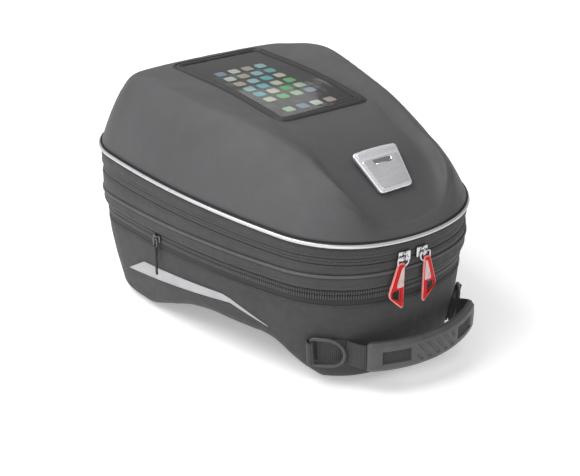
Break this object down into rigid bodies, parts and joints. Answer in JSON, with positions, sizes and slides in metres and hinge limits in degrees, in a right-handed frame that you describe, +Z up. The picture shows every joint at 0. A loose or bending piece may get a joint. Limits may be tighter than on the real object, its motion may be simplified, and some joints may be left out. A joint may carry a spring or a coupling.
{
  "type": "motorcycle tank bag",
  "caption": "Expandable motorcycle tank bag with a hinged zipped lid, phone window, carry handle and an arched base with a ring lock.",
  "frame": {"origin": "on the ground, under the middle of the overall length and width", "axes": "+Z up; -Y towards the rider (badge, zip pulls, handle); +Y towards the lid's hinge end; +X the release strap's side"},
  "size_m": [0.2754, 0.3658, 0.2229],
  "materials": {
    "weave_fabric": "dark grey woven polyester",
    "padded_lid": "moulded padded fabric, dark grey weave",
    "rubber": "matte black rubber",
    "grip_rubber": "satin grey rubber with ribs",
    "webbing": "black ribbed webbing",
    "lock_plastic": "black moulded plastic",
    "zip_coil": "black nylon coil on tape",
    "reflective": "silver reflective film",
    "steel": "zinc plated",
    "badge_metal": "satin silver",
    "chrome": "polished",
    "slider_dark": "dark lacquered zip slider",
    "ring_plastic": "satin grey plastic",
    "window_film": "clear flexible film",
    "phone_body": "black phone with a lit screen",
    "pull_red": "translucent red with a pale border",
    "net": "black mesh"
  },
  "bodies": {
    "lower_body": {"lower_shell": "weave_fabric", "base_skid": "rubber", "floor_plate": "lock_plastic", "exp_zip_lower": "zip_coil", "expansion_gusset": "weave_fabric", "reflector_left": "reflective", "reflector_right": "reflective", "webbing_left": "webbing", "webbing_right": "webbing", "lock_housing": "lock_plastic", "lock_cover": "lock_plastic", "latch_spring": "steel", "lock_screw_1": "steel", "lock_screw_2": "steel", "lock_screw_3": "steel", "lock_screw_4": "steel"},
    "lock_latch": {"lock_latch": "steel", "release_strap": "webbing", "release_tab": "rubber"},
    "carry_handle": {"handle_strap": "webbing", "handle_grip": "grip_rubber"},
    "ring_left": {"d_ring_left": "ring_plastic"},
    "ring_right": {"d_ring_right": "ring_plastic"},
    "expansion_collar": {"exp_zip_upper": "zip_coil", "upper_band": "weave_fabric", "band_welt": "weave_fabric", "main_zip_lower": "zip_coil", "lid_hinge_fabric": "weave_fabric"},
    "lid": {"lid_shell": "padded_lid", "lid_band": "weave_fabric", "piping": "reflective", "main_zip_upper": "zip_coil", "window_frame": "rubber", "window_film": "window_film", "phone": "phone_body", "pocket_panel": "weave_fabric", "lid_pocket_net": "net", "badge": "badge_metal"},
    "slider_left": {"slider_left": "chrome"},
    "slider_right": {"slider_right": "chrome"},
    "pull_left": {"pull_left": "pull_red"},
    "pull_right": {"pull_right": "pull_red"},
    "exp_slider": {"exp_slider": "slider_dark"},
    "exp_pull": {"exp_pull": "webbing"}
  },
  "joints": [
    {"name": "expansion_lift", "type": "slide", "parent": "lower_body", "child": "expansion_collar", "axis": [0, 0, 1], "range_m": [0, 0.045], "deforming": ["expansion_gusset"]},
    {"name": "lid_hinge", "type": "hinge", "parent": "expansion_collar", "child": "lid", "pos_m": [0, 0.18033, 0.1331], "axis": [-1, 0, 0], "range_deg": [0, 100]},
    {"name": "slider_left_travel", "type": "hinge", "parent": "expansion_collar", "child": "slider_left", "pos_m": [0, -0.01257, 0.12721], "axis": [0, -0.032, 0.9995], "range_deg": [-12, 0]},
    {"name": "slider_right_travel", "type": "hinge", "parent": "expansion_collar", "child": "slider_right", "pos_m": [0, -0.01257, 0.12721], "axis": [0, -0.032, 0.9995], "range_deg": [0, 18]},
    {"name": "pull_left_swing", "type": "hinge", "parent": "slider_left", "child": "pull_left", "pos_m": [-0.01953, -0.16502, 0.12244], "axis": [-0.9919, 0.1271, 0], "range_deg": [0, 150]},
    {"name": "pull_right_swing", "type": "hinge", "parent": "slider_right", "child": "pull_right", "pos_m": [-0.00107, -0.16626, 0.12241], "axis": [-1, 0.007, 0], "range_deg": [0, 150]},
    {"name": "exp_slider_travel", "type": "hinge", "parent": "lower_body", "child": "exp_slider", "pos_m": [0.59498, 0.12368, 0.0915], "axis": [0, 0, 1], "range_deg": [0, 11]},
    {"name": "exp_pull_swing", "type": "hinge", "parent": "exp_slider", "child": "exp_pull", "pos_m": [-0.13158, 0.04603, 0.0915], "axis": [-0.1063, 0.9943, 0], "range_deg": [0, 150]},
    {"name": "ring_left_swing", "type": "hinge", "parent": "lower_body", "child": "ring_left", "pos_m": [-0.08344, -0.1226, 0.03572], "axis": [0.1525, 0.1129, -0.9818], "range_deg": [0, 150]},
    {"name": "ring_right_swing", "type": "hinge", "parent": "lower_body", "child": "ring_right", "pos_m": [0.08344, -0.1226, 0.03572], "axis": [0.1525, -0.1129, 0.9818], "range_deg": [0, 150]},
    {"name": "handle_swing", "type": "hinge", "parent": "lower_body", "child": "carry_handle", "pos_m": [0, -0.14937, 0.0365], "axis": [-1, 0, 0], "range_deg": [-15, 20]},
    {"name": "latch_release", "type": "slide", "parent": "lower_body", "child": "lock_latch", "axis": [1, 0, 0], "range_m": [0, 0.005]}
  ]
}
